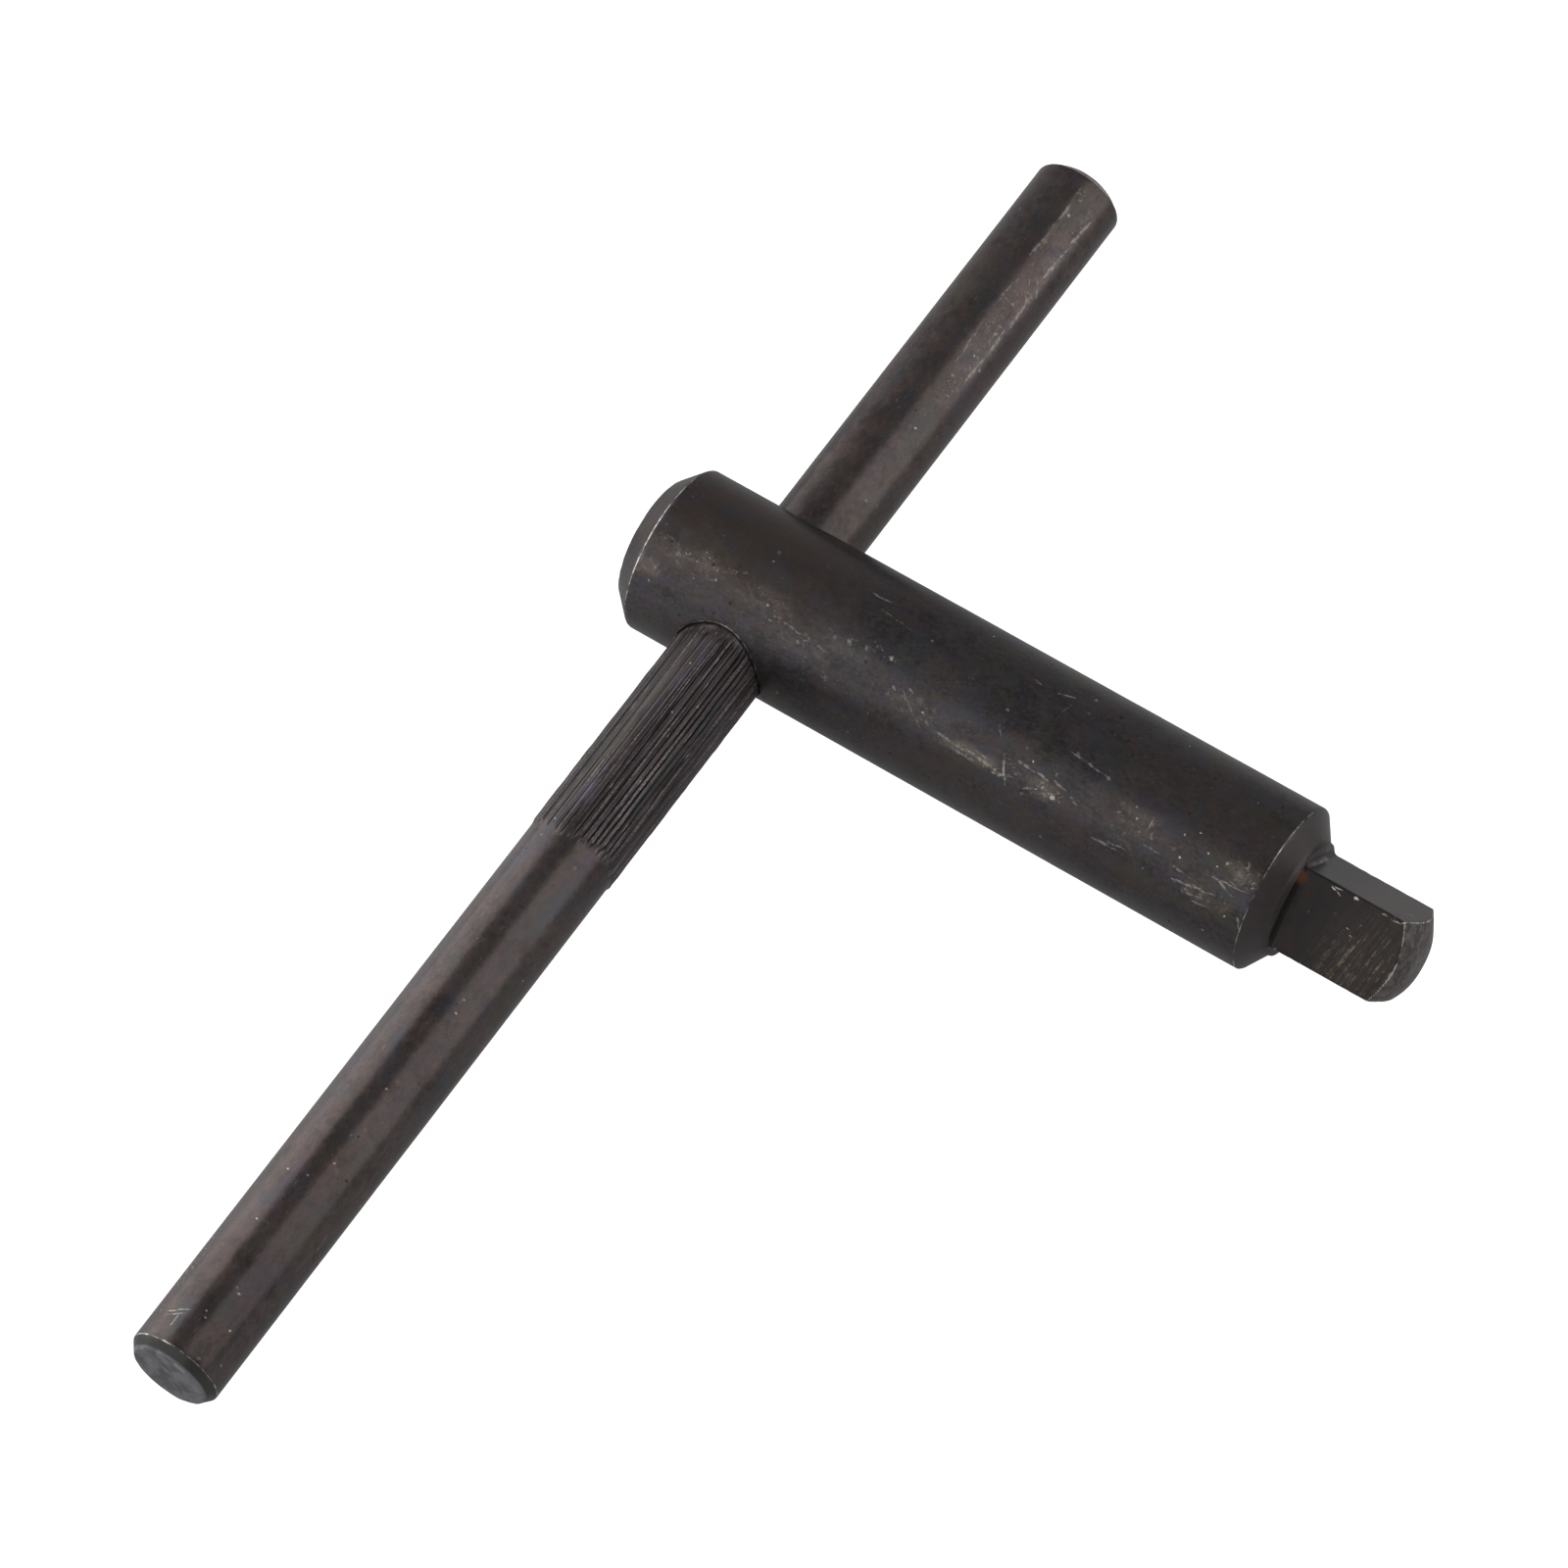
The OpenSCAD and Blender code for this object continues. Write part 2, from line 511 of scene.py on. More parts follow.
def knurl_profile(angles, y, edges):
    """Radius, wear with sheen, and grime with painted shade round the knurl at one station along
    it.
    """
    wander = 0.16 * math.sin(y / 4.7) + 0.1 * math.sin(y / 1.9)
    angles = (angles + wander) % 360
    teeth = np.clip(np.searchsorted(edges, angles, side="right") - 1, 0, len(edges) - 2)
    before = angles - edges[teeth]
    after = edges[teeth + 1] - angles
    near = np.where(before < after, teeth, (teeth + 1) % (len(edges) - 1))
    off = np.minimum(before, after)
    creased = half_formed(angles)
    places = np.stack([near * 3.1, np.full(len(angles), y / 2.4), np.zeros(len(angles))], axis=-1)
    broken = field(places)
    half = GROOVE_HALF * (0.8 + 0.5 * varied(near, 0) - 0.3 * creased)
    groove = 1 - smooth(off / half)
    depth = (0.2 + 0.16 * varied(near, 1)) * (1 - 0.5 * smooth(-2.5 * broken))
    burr = np.exp(-(((off - 1.3 * half) / 0.5) ** 2)) * smooth(0.5 + 2 * broken)
    burr = burr * np.where(before < after, 0.7, 0.2) * (1 - 0.6 * creased)
    crown = 2 * off / (edges[teeth + 1] - edges[teeth])
    land = LAND_R + 0.05 * (varied(teeth, 2) - 0.5) - 0.06 * (1 - crown) ** 2
    outer_end = KNURL_OUTER_Y + 0.1 + 1.0 * varied(teeth, 3)
    inner_end = KNURL_START_Y - 0.2 - 0.3 * varied(near, 4) - 0.9 * creased
    at_end = smooth((y - outer_end) / 0.3)
    raised = smooth((KNURL_INNER_Y - 0.1 - y) / 0.6) * at_end
    cut = smooth((inner_end - y) / 0.4) * at_end
    radius = BAR_R + raised * (land - BAR_R + 0.08 * burr) - cut * depth * groove
    # The groove value darkens the knurl's grooves: painted shade with some grime.
    return radius, cut * burr, cut * groove


def knurl_skin(build):
    """The knurled middle. Returns its first and last rings."""
    angles = np.arange(KNURL_COLUMNS) * 360 / KNURL_COLUMNS
    edges = tooth_edges()
    count = round((KNURL_START_Y - KNURL_OUTER_Y) / KNURL_STEP)
    stations = np.linspace(KNURL_START_Y, KNURL_OUTER_Y, count + 1)
    rings = []
    for y in stations:
        radius, wear, dirt = knurl_profile(angles, y, edges)
        rings.append(build.add(around_y(y, radius, angles), wear=wear, dirt=dirt, rough=0.4))
    build.rings(rings)
    return rings[0], rings[-1]


def arm_skin(build, start_y, end_y, chamfer, chamfer_len, knurl_ring):
    """One plain arm, from the knurl's ring to its chamfered end."""
    way = 1 if end_y > start_y else -1
    corners = [
        (start_y + way * ARM_STEP, BAR_R, 0, 0),
        (end_y - way * chamfer_len, BAR_R, 0.16, 0.8),
        (end_y, BAR_R - chamfer, 0.2, 0.5),
        (end_y, 0.3, 0, 0),
    ]
    angles = np.arange(ARM_COLUMNS) * 360 / ARM_COLUMNS
    rings = []
    for y, radius, wear in dense(rounded(corners), ARM_STEP):
        rings.append(build.add(around_y(y, radius, angles), wear=wear))
    build.rings(rings[::-way])
    build.fan(rings[-1][::way], build.point(HOLE_X, end_y, 0))
    build.widen(rings[0], knurl_ring, coarse_first=way > 0)


def bar_relief(points, wear):
    """How far the cross bar's skin stands from its nominal shape."""
    y = points[:, 1]
    at_end = np.maximum(smooth((BAR_LOW_Y + 0.7 - y) / 0.5), smooth((y - BAR_HIGH_Y + 0.7) / 0.5))
    waves = 0.008 * field(points, 6, 5) + 0.003 * field(points, 1.6, 6)
    rough_end = 0.045 * field(points, 1.5, 7) * at_end
    nicks = np.maximum(0, field(points, 0.9, 8)) * 0.1 * wear
    return waves + rough_end - nicks + dings(points, 60, 9, (0.6, 1.6), (0.35, 0.8), (0.01, 0.03))


def cross_bar():
    build = Builder()
    inner_ring, outer_ring = knurl_skin(build)
    arm_skin(build, KNURL_START_Y, BAR_HIGH_Y, FAR_CHAMFER, FAR_CHAMFER_LEN, inner_ring)
    arm_skin(build, KNURL_OUTER_Y, BAR_LOW_Y, NEAR_CHAMFER, NEAR_CHAMFER_LEN, outer_ring)
    return build.finish("cross_bar_detailed", bar_relief)


# ---- Node trees ----

class Graph:
    """Builds one node tree from short calls. Plain numbers and colours set the socket itself."""

    def __init__(self, tree):
        self.tree = tree
        tree.nodes.clear()

    def node(self, kind, inputs=None, **settings):
        made = self.tree.nodes.new(kind)
        for name, value in settings.items():
            setattr(made, name, value)
        for socket, value in (inputs or {}).items():
            if isinstance(value, bpy.types.NodeSocket):
                self.tree.links.new(value, made.inputs[socket])
            else:
                made.inputs[socket].default_value = value
        return made

    def math(self, operation, a, b=0.0):
        return self.node("ShaderNodeMath", {0: a, 1: b}, operation=operation).outputs[0]

    def add(self, *terms):
        return reduce(partial(self.math, "ADD"), terms)

    def times(self, *terms):
        return reduce(partial(self.math, "MULTIPLY"), terms)

    def highest(self, *terms):
        return reduce(partial(self.math, "MAXIMUM"), terms)

    def inverse(self, value):
        return self.math("SUBTRACT", 1, value)

    def band(self, value, low, high, low_out=0.0, high_out=1.0):
        """A smooth step of the value between low and high."""
        made = self.node(
            "ShaderNodeMapRange",
            {"Value": value, "From Min": low, "From Max": high,
             "To Min": low_out, "To Max": high_out},
            interpolation_type="SMOOTHSTEP",
        )
        return made.outputs["Result"]

    def vector(self, operation, *inputs):
        """A vector operation. Dot products, distances and lengths give a number."""
        made = self.node("ShaderNodeVectorMath", dict(enumerate(inputs)), operation=operation)
        gives_number = operation in ("DOT_PRODUCT", "DISTANCE", "LENGTH")
        return made.outputs["Value" if gives_number else "Vector"]

    def parts(self, vector):
        """The x, y and z of a vector."""
        return self.node("ShaderNodeSeparateXYZ", {0: vector}).outputs

    def coordinates(self, kind):
        return self.node("ShaderNodeTexCoord").outputs[kind]

    def shifted(self, place, seed):
        """The same place in another part of the noise."""
        return self.vector("ADD", place, (7.3 * seed, 3.1 * seed, 5.7 * seed))

    def stretch(self, place, factors):
        return self.vector("MULTIPLY", place, factors)

    def warped(self, vector, place, wavelength, reach):
        """The vector moved about by noise at the place, by up to half the reach each way."""
        cloud = self.node(
            "ShaderNodeTexNoise", {"Vector": place, "Scale": 1 / wavelength, "Detail": 2.0}
        )
        off = self.vector("SUBTRACT", cloud.outputs["Color"], (0.5, 0.5, 0.5))
        return self.vector("MULTIPLY_ADD", off, reach, vector)

    def noise(self, place, wavelength, detail=3.0, roughness=0.55, warp=0.0):
        """Noise from 0 to 1 with features about a wavelength across, in the place's units."""
        made = self.node(
            "ShaderNodeTexNoise",
            {"Vector": place, "Scale": 1 / wavelength, "Detail": detail,
             "Roughness": roughness, "Distortion": warp},
        )
        return made.outputs[0]

    def specks(self, place, spacing, size, share):
        """Small uneven dots in a share of the cells of a jittered grid."""
        uneven = self.warped(place, place, size * 1.5, (size, size, size))
        cells = self.node("ShaderNodeTexVoronoi", {"Vector": uneven, "Scale": 1 / spacing})
        chance = self.node("ShaderNodeSeparateColor", {0: cells.outputs["Color"]})
        reach = self.times(chance.outputs[1], size / spacing)
        dot = self.band(self.math("DIVIDE", cells.outputs["Distance"], reach), 1.0, 0.5)
        return self.times(dot, self.band(chance.outputs[0], share, share * 0.9))

    def mix(self, factor, a, b):
        """A colour between a and b."""
        made = self.node(
            "ShaderNodeMix", {0: factor, 6: as_colour(a), 7: as_colour(b)}, data_type="RGBA"
        )
        return made.outputs[2]

    def placed(self, group, **inputs):
        """The mask of a shared group at one place."""
        return self.node("ShaderNodeGroup", inputs, node_tree=group).outputs[0]

    def attribute(self, name):
        return self.node("ShaderNodeAttribute", attribute_name=name).outputs["Fac"]


def as_colour(value):
    """A colour with its alpha, or a socket as it is."""
    return value if isinstance(value, bpy.types.NodeSocket) else (*value, 1.0)


def shared_group(name, **sockets):
    """A new node group with a Mask output, as a graph and the group's inputs."""
    tree = bpy.data.node_groups.new(name, "ShaderNodeTree")
    for label, kind in sockets.items():
        tree.interface.new_socket(label, in_out="INPUT", socket_type="NodeSocket" + kind)
    tree.interface.new_socket("Mask", in_out="OUTPUT", socket_type="NodeSocketFloat")
    graph = Graph(tree)
    return graph, graph.node("NodeGroupInput").outputs


def scratch_group():
    """1 on a thin line from Start to End, fading out over its width."""
    graph, given = shared_group(
        "scratch", Place="Vector", Start="Vector", End="Vector", Width="Float"
    )
    off = graph.vector("SUBTRACT", given["Place"], given["Start"])
    line = graph.vector("SUBTRACT", given["End"], given["Start"])
    dot = graph.vector("DOT_PRODUCT", off, line)
    square = graph.vector("DOT_PRODUCT", line, line)
    share = graph.node("ShaderNodeClamp", {0: graph.math("DIVIDE", dot, square)}).outputs[0]
    foot = graph.node("ShaderNodeVectorMath", {0: line, "Scale": share}, operation="SCALE")
    gap = graph.vector("DISTANCE", off, foot.outputs["Vector"])
    # The line is widest a third of the way along it and thins out at both ends.
    taper = graph.math("SINE", graph.times(graph.math("POWER", share, 0.7), math.pi))
    width = graph.times(given["Width"], graph.add(taper, 0.25))
    ratio = graph.math("DIVIDE", gap, width)
    graph.node("NodeGroupOutput", {"Mask": graph.band(ratio, 0.75, 0.25)})
    return graph.tree


def zone_group():
    """1 in the middle of an oval, fading to 0 at its edge."""
    graph, given = shared_group("zone", Place="Vector", Centre="Vector", Reach="Vector")
    off = graph.vector("SUBTRACT", given["Place"], given["Centre"])
    far = graph.vector("LENGTH", graph.vector("DIVIDE", off, given["Reach"]))
    graph.node("NodeGroupOutput", {"Mask": graph.band(far, 1.0, 0.3)})
    return graph.tree


SCRATCH = scratch_group()
ZONE = zone_group()


# ---- Blackened steel ----

BRIGHT_STEEL = (0.42, 0.39, 0.35)
# Bright steel of rubbed edges, also laid as a painted highlight round the hole's rim.
EDGE_WEAR_AND_SHEEN = (0.66, 0.62, 0.57)
SPARK = (0.62, 0.6, 0.56)
DUST = (0.42, 0.42, 0.38)
RUST = (0.16, 0.06, 0.022)
OLIVE = (0.08, 0.08, 0.056)
VIOLET = (0.082, 0.068, 0.092)
RUSSET = (0.09, 0.065, 0.062)
SLATE = (0.06, 0.07, 0.084)


class Steel(Graph):
    def __init__(self, name, axis, metal):
        self.material = bpy.data.materials.new(name)
        self.material.use_nodes = True
        super().__init__(self.material.node_tree)
        self.place = self.stretch(self.coordinates("Object"), (1 / MM, 1 / MM, 1 / MM))
        parts = self.parts(self.place)
        if axis == "x":
            along, level, radius = parts[0], parts[1], SHANK_R
            grain = (0.7, 1, 1)
        else:
            along, level, radius = parts[1], self.math("SUBTRACT", parts[0], HOLE_X), BAR_R
            grain = (1, 0.45, 1)
        self.along = along
        self.radius = radius
        turn = self.math("ARCTAN2", parts[2], level)
        # Turns run from -90 to 270 degrees, so that the join lies underneath.
        wrapped = self.node(
            "ShaderNodeMath", {0: turn, 1: 1.5 * math.pi, 2: -0.5 * math.pi}, operation="WRAP"
        )
        arc = self.times(wrapped.outputs[0], radius)
        self.skin = self.node("ShaderNodeCombineXYZ", {0: along, 1: arc}).outputs[0]
        self.grain_place = self.stretch(self.place, grain)
        self.metal = metal

    def cloud(self, wavelength, detail=3.0, roughness=0.55, warp=0.0, stretch=None):
        """Noise over the piece, drawn out along the axes whose stretch is below 1."""
        place = self.stretch(self.place, stretch) if stretch else self.place
        return self.noise(place, wavelength, detail, roughness, warp)

    def strongest(self, marks):
        """The strongest of some masks, each with its strength."""
        return self.highest(*(self.times(mask, strength) for mask, strength in marks))

    def on_skin(self, along, turn):
        """A place on the skin, from one along the piece and a turn round it."""
        return along, turn * math.radians(self.radius), 0

    def scratches(self, place, lines):
        """Placed lines (along, turn, along, turn, width, strength)."""
        return self.strongest(
            (self.placed(SCRATCH, Place=place, Start=self.on_skin(start, start_turn),
                         End=self.on_skin(end, end_turn), Width=width), strength)
            for start, start_turn, end, end_turn, width, strength in lines
        )

    def zones(self, ovals):
        """Placed ovals (along, turn, half length, half turn, strength)."""
        return self.strongest(
            (self.placed(ZONE, Place=self.skin, Centre=self.on_skin(along, turn),
                         Reach=(half, half_turn * math.radians(self.radius), 1)), strength)
            for along, turn, half, half_turn, strength in ovals
        )

    def oxide(self, dark, light, brown, grey, roughness, grain):
        """The black oxide itself: dark and light clouds, brown and grey blooms, and grain."""
        broad = self.cloud(8, 5, 0.6)
        middle = self.cloud(2.4, 5, 0.65, 0.4, stretch=(0.9, 1, 1.1))
        fine = self.noise(self.grain_place, 0.6, 4, 0.65)
        tone = self.add(
            self.times(broad, 0.35), self.times(middle, 0.35), self.times(fine, 0.3)
        )
        self.colour = self.mix(self.band(tone, 0.4, 0.61), dark, light)
        warm = self.cloud(4, 6, 0.7, 0.5, stretch=(1.1, 0.9, 1.2))
        cool = self.cloud(3, 6, 0.7, 0.5, stretch=(0.8, 1.2, 0.9))
        self.cover(self.band(warm, 0.49, 0.66, 0.0, 0.7), brown)
        self.cover(self.band(cool, 0.53, 0.68, 0.0, 0.6), grey)
        grains = self.noise(self.shifted(self.grain_place, 3), 0.34, 2, 0.6)
        self.cover(self.band(grains, 0.52, 0.66, 0.0, grain), [1.5 * c for c in light])
        self.cover(self.band(grains, 0.46, 0.36, 0.0, grain), [0.6 * c for c in dark])
        self.rough = self.add(
            self.times(middle, 0.18), self.times(fine, 0.16), roughness - 0.17
        )
        self.height = self.add(
            self.times(middle, 0.016), self.times(fine, 0.006), self.times(broad, 0.016)
        )

    def tinted(self, grain, wavelength, strength):
        """Faint olive, violet, russet and slate tints, like the temper colours of the oxide."""
        for seed, colour in enumerate((OLIVE, VIOLET, RUSSET, SLATE), start=1):
            place = self.shifted(self.stretch(self.place, grain), seed)
            cloud = self.noise(place, wavelength, 4, 0.65, 0.4)
            self.cover(self.band(cloud, 0.5, 0.66, 0.0, strength), colour)

    def dashes(self, turn, length, width, level):
        """Short fine marks on the skin that all run one way."""
        mapping = self.node("ShaderNodeMapping", {
            "Vector": self.skin, "Rotation": (0, 0, math.radians(turn)),
            "Scale": (1 / length, 1 / width, 1),
        })
        marks = self.noise(mapping.outputs[0], 1, 2, 0.5, 0.4)
        return self.band(marks, level, level + 0.06)

    def chipped(self, ovals, colour, strength):
        """Clusters of small bright chips, dashes and sparks inside placed ovals."""
        area = self.zones(ovals)
        cloud = self.noise(self.shifted(self.place, 9), 2.8, 4, 0.7, 0.5)
        cluster = self.band(self.add(cloud, self.times(area, 0.16)), 0.57, 0.66)
        within = self.times(cluster, self.band(area, 0.0, 0.4))
        chips = self.cloud(0.8, 2, 0.6, 1.6)
        marks = self.highest(
            self.band(chips, 0.6, 0.65), self.dashes(20, 1.9, 0.3, 0.65),
            self.dashes(-50, 1.4, 0.28, 0.66),
        )
        self.cover(self.times(marks, within, strength), colour, rough=0.42, height=-0.015)
        sparks = self.specks(self.shifted(self.place, 4), 1.3, 0.42, 0.3)
        self.cover(self.times(sparks, within), SPARK, rough=0.4, height=0.02)

    def scattered(self, share, strength):
        """Single small chips and nicks all over."""
        chips = self.specks(self.shifted(self.place, 6), 1.8, 0.34, share)
        marks = self.highest(chips, self.dashes(70, 1.1, 0.2, 0.7))
        self.cover(self.times(marks, strength), (0.2, 0.18, 0.16), rough=0.45, height=-0.01)

    def cover(self, mask, colour, rough=None, metal=None, height=0.0):
        """Lays a colour over what is there, where the mask is 1."""
        self.colour = self.mix(mask, self.colour, colour)
        if rough is not None:
            self.rough = self.blend(mask, self.rough, rough)
        if metal is not None:
            self.metal = self.blend(mask, self.metal, metal)
        if height:
            self.lift(mask, height)

    def blend(self, mask, a, b):
        return self.node("ShaderNodeMix", {0: mask, 2: a, 3: b}, data_type="FLOAT").outputs[0]

    def lift(self, *terms):
        """Raises the surface by the product of the terms, in millimetres."""
        self.height = self.add(self.height, self.times(*terms))

    def worn(self, ovals, colour, strength):
        """Rubbed patches: broken up inside placed ovals."""
        area = self.zones(ovals)
        patches = self.cloud(2.6, 6, 0.72, 0.6, stretch=(0.7, 0.9, 1))
        level = self.add(patches, self.times(area, 0.16))
        mask = self.times(self.band(level, 0.53, 0.72), area)
        chips = self.cloud(0.45, 3, 0.65, 0.8)
        flecks = self.times(self.band(chips, 0.56, 0.68), self.band(level, 0.5, 0.66), area)
        self.cover(self.times(mask, strength), colour, rough=0.42)
        self.cover(self.times(flecks, strength), [1.8 * c for c in colour], rough=0.4)

    def dusted(self, spacing, size, share, strength):
        """Pale specks caught on the surface."""
        dots = self.specks(self.place, spacing, size, share)
        self.cover(self.times(dots, strength), DUST, rough=0.6, metal=0.0)

    def pitted(self, spacing, size, share):
        """Small dark pits in the oxide."""
        dots = self.specks(self.shifted(self.place, 7), spacing, size, share)
        self.cover(self.times(dots, 0.6), (0.008, 0.007, 0.006), rough=0.6, height=-0.02)

    def scratched(self, lines, colour=BRIGHT_STEEL):
        """Placed scratches that show the steel."""
        moved = self.warped(self.skin, self.place, 1.2, (0.5, 0.5, 0))
        mask = self.scratches(moved, lines)
        chatter = self.band(self.cloud(0.5, 3), 0.42, 0.58, 0.15, 1.0)
        self.cover(self.times(mask, chatter), colour, rough=0.4)

    def dotted(self, places, width):
        """Placed bright specks."""
        self.scratched([(at - 0.1, turn, at + 0.1, turn, width, 1.0) for at, turn in places], SPARK)

    def edged(self, strength):
        """Bright steel where the edges and crests are rubbed, and a painted highlight along the
        hole's rim.
        """
        wear = self.attribute("wear")
        broad = self.cloud(3.5, 2)
        fine = self.cloud(0.7, 3, 0.6)
        level = self.add(wear, self.times(broad, 1.6), self.times(fine, 1.2), -1.4)
        mask = self.times(self.band(level, 0.45, 0.95), strength)
        self.cover(mask, EDGE_WEAR_AND_SHEEN, rough=0.36)

    def grimed_and_shaded(self, colour, strength):
        """Painted shade with some grime: darker in the grooves, the corners and the bore."""
        mask = self.times(self.attribute("dirt"), strength)
        self.cover(mask, colour, rough=0.6)

    def finish(self, specular):
        bump = self.node("ShaderNodeBump", {
            "Height": self.height, "Distance": MM, "Strength": 1.0
        })
        shader = self.node("ShaderNodeBsdfPrincipled", {
            "Base Color": self.colour, "Roughness": self.rough, "Metallic": self.metal,
            "Specular IOR Level": specular, "Normal": bump.outputs[0],
        })
        self.node("ShaderNodeOutputMaterial", {0: shader.outputs[0]})
        return self.material


# Marks on the shank: lines, dots, and then ovals, by place along it and turn round it.
SHANK_SCRATCHES = [
    (-57.4, 75.7, -54.4, 75.6, 0.2, 0.8), (-55.4, 84, -50.8, 87, 0.15, 0.45),
    (-48.6, 86, -48.2, 86, 0.24, 0.6), (-64.4, 123, -60.9, 124.4, 0.18, 0.3),
    (-60.9, 124.4, -57.9, 126.3, 0.18, 0.3), (-36.7, 73.2, -35.3, 74.4, 0.24, 0.85),
    (-33.4, 74.6, -31.3, 70, 0.24, 0.85), (-31.7, 86, -31.2, 76.7, 0.15, 0.4),
    (-37, 102, -36.6, 102, 0.24, 0.6), (-36.8, 112, -35.9, 119, 0.18, 0.45),
    (-28.1, 105.5, -23, 108.6, 0.18, 0.65), (-23.2, 108.2, -22.8, 109.4, 0.3, 0.7),
    (-21.8, 147.4, -18.6, 147.1, 0.24, 0.6), (-20.3, 145.1, -17.7, 143.6, 0.2, 0.5),
    (-11.9, 145.6, -6.4, 141, 0.22, 0.75), (-7.3, 130.5, -4.6, 136.3, 0.18, 0.6),
    (-7.8, 131.2, -3.1, 129.6, 0.16, 0.5), (-48.3, 123, -44.3, 141.3, 0.16, 0.4),
    (-49.6, 124, -49, 126, 0.22, 0.5), (-47.7, 120, -47.1, 122, 0.22, 0.5),
    (-42.9, 136.5, -38.5, 138.5, 0.24, 0.55), (-38.9, 137, -33.7, 140.5, 0.26, 0.7),
    (-40.5, 140.5, -37.5, 142, 0.2, 0.5), (-37.6, 134.6, -35.2, 136.2, 0.2, 0.5),
    (-34.7, 127, -33.2, 146, 0.24, 0.8), (-35.2, 142.4, -32.4, 138, 0.24, 0.8),
    (-31.2, 140.8, -28.9, 134.4, 0.22, 0.6), (-29.3, 139, -26.8, 131.6, 0.22, 0.5),
    (-32.9, 127, -30.6, 128.6, 0.26, 0.6), (-30.4, 127.6, -28.4, 129.4, 0.24, 0.6),
    (-28.2, 126.4, -26.6, 128.8, 0.22, 0.5), (-30, 134.8, -26.4, 137.6, 0.22, 0.6),
    (-25.8, 130.8, -24.6, 134.2, 0.2, 0.4), (-16.2, 134, -14, 135, 0.18, 0.4),
    (-12.6, 137.2, -9.6, 138.6, 0.18, 0.4), (-10.2, 150, -7.6, 147.4, 0.22, 0.5),
    (-8.8, 152.4, -6.6, 151, 0.2, 0.5), (-56.6, 113, -55.9, 115, 0.26, 0.6),
    (-54.4, 111, -53.8, 113, 0.26, 0.6), (-53.1, 106, -52.5, 108, 0.22, 0.5),
    (-16.4, 118, -16.2, 124.5, 0.18, 0.6), (-3.2, 147, -2.7, 154, 0.22, 0.7),
]
SHANK_DOTS = [
    (-32.7, 117), (-31.3, 123), (-28.4, 122.5), (-18.7, 115.7), (-18, 122.6), (-17.2, 128.5),
    (-12.5, 116.4), (-11.9, 130.4), (-11, 110.8), (-9.1, 119.2), (-7.8, 73), (-7.7, 124),
    (-45, 130), (-15.2, 149.1), (-33.7, 140), (-4.7, 151),
]
SHANK_WORN = [
    (-77, 114, 7, 16, 0.8), (-68, 116, 8, 14, 0.7), (-57, 118, 6, 12, 0.5),
    (-81.2, 134, 3, 9, 0.8), (-61, 128, 7, 18, 0.5), (-47, 128, 6, 14, 0.6), (-38.5, 138, 7, 8, 1),
    (-28.8, 136, 4.5, 10, 0.9), (-18, 127, 7, 22, 0.6), (-4.6, 120, 3, 10, 1),
    (-7.5, 145, 5.5, 11, 0.9),
]
SHANK_BROWN = [(-72, 85, 20, 62, 1), (-12, 90, 16, 50, 0.5), (-35, 160, 30, 20, 0.4)]
SHANK_CHIPPED = [
    (-77, 114, 7, 15, 0.6), (-70, 112, 5, 10, 0.6), (-81.2, 134, 3, 9, 0.8),
    (-63, 128, 5, 12, 0.5), (-54.5, 111, 5, 9, 0.7), (-56.4, 140.7, 2.5, 5, 0.8),
    (-46.5, 128, 6, 13, 0.6), (-38.3, 138.5, 6.5, 6, 1), (-33.5, 137, 2.5, 12, 1),
    (-28.5, 136, 4, 9, 1), (-17.5, 124, 5, 13, 0.5), (-7.5, 145, 5, 8, 1),
    (-4.8, 122, 3.5, 12, 0.9),
]
SQUARE_MARKS = [
    (3.6, 91.2, 5, 94.1, 0.16, 1), (3.7, 90.6, 5.1, 89.2, 0.13, 0.8),
    (6.5, 89.8, 7, 90.3, 0.28, 1), (10.1, 90.1, 10.6, 90.2, 0.16, 0.9),
    (11.2, 90.9, 12.4, 90.5, 0.14, 0.8), (7.1, 119.4, 7.4, 120.2, 0.14, 0.8),
    (6.8, 123.2, 7, 123.8, 0.14, 0.7), (7.7, 125.4, 8.1, 126, 0.14, 0.7),
    (8.4, 108.4, 8.6, 109, 0.12, 0.7), (8, 154.9, 8.2, 155.7, 0.18, 0.9),
    (12.4, 89, 12.6, 89.6, 0.2, 0.9),
]
SQUARE_STREAK = [(4.9, 110.6, 5.7, 112.4, 0.16, 0.6)]
# A painted highlight: light strips along the top flat's root fillet, where it catches the light.
ROOT_HIGHLIGHT_STRIP = [(0.4, 22, 0.45, 62, 0.55, 1.0), (0.42, 60, 0.5, 82, 0.4, 0.7)]


def key_body_steel():
    steel = Steel("blackened_key_body", "x", 0.75)
    steel.oxide(
        dark=(0.045, 0.0395, 0.042), light=(0.084, 0.074, 0.077), brown=(0.09, 0.069, 0.061),
        grey=(0.06, 0.06, 0.07), roughness=0.35, grain=0.32,
    )
    brown = steel.zones(SHANK_BROWN)
    steel.cover(steel.times(brown, 0.75), (0.094, 0.07, 0.061))
    steel.tinted((0.5, 1, 1), 2.4, 0.5)
    steel.worn(SHANK_WORN, (0.155, 0.13, 0.112), 0.75)
    steel.pitted(1.3, 0.32, 0.3)
    steel.scattered(0.22, 0.7)
    steel.chipped(SHANK_CHIPPED, (0.27, 0.235, 0.195), 0.9)
    steel.dusted(2.3, 0.3, 0.16, 0.8)
    steel.scratched(SHANK_SCRATCHES)
    steel.dotted(SHANK_DOTS, 0.2)
    machined_square(steel)
    # Painted shade with some grime in the neck, the square's root and the bore.
    steel.grimed_and_shaded((0.02, 0.017, 0.017), 0.75)
    steel.edged(0.95)
    rusty_root(steel)
    return steel.finish(0.5)


# The cutter's lines lean across the flat, by this share of the height on it.
CUTTER_LEAN = 0.215


